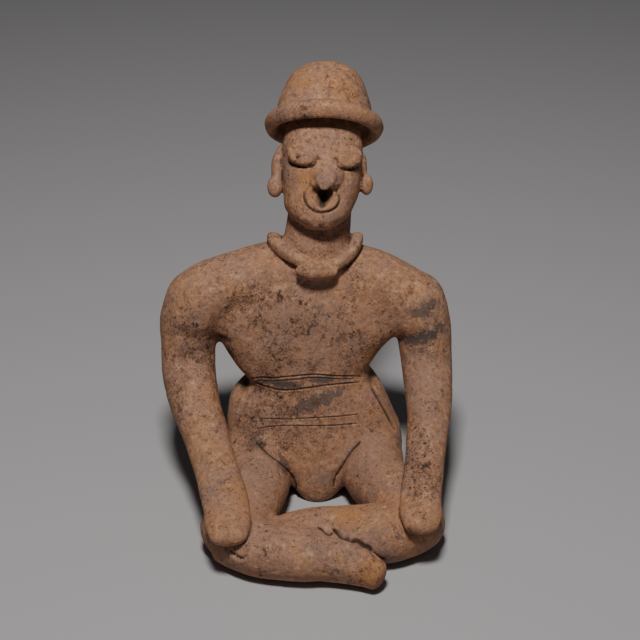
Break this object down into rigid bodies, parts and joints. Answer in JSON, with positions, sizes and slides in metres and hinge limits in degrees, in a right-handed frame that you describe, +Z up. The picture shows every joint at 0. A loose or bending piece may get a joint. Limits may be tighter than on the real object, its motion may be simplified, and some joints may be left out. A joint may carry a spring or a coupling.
{
  "type": "seated ceramic figure",
  "caption": "Seated cross-legged fired-clay figure with hands on its knees, a round brimmed hat, a collar and ear pendants.",
  "frame": {"origin": "centre of the bounding box in plan, on the floor that the figure sits on", "axes": "+Z up, the figure faces -Y, +X to the right as one looks at its face"},
  "size_m": [0.2638, 0.3194, 0.3677],
  "materials": {
    "terracotta": "unglazed fired clay, worn and speckled"
  },
  "bodies": {
    "root": {"seated_figure": "terracotta"}
  },
  "joints": []
}
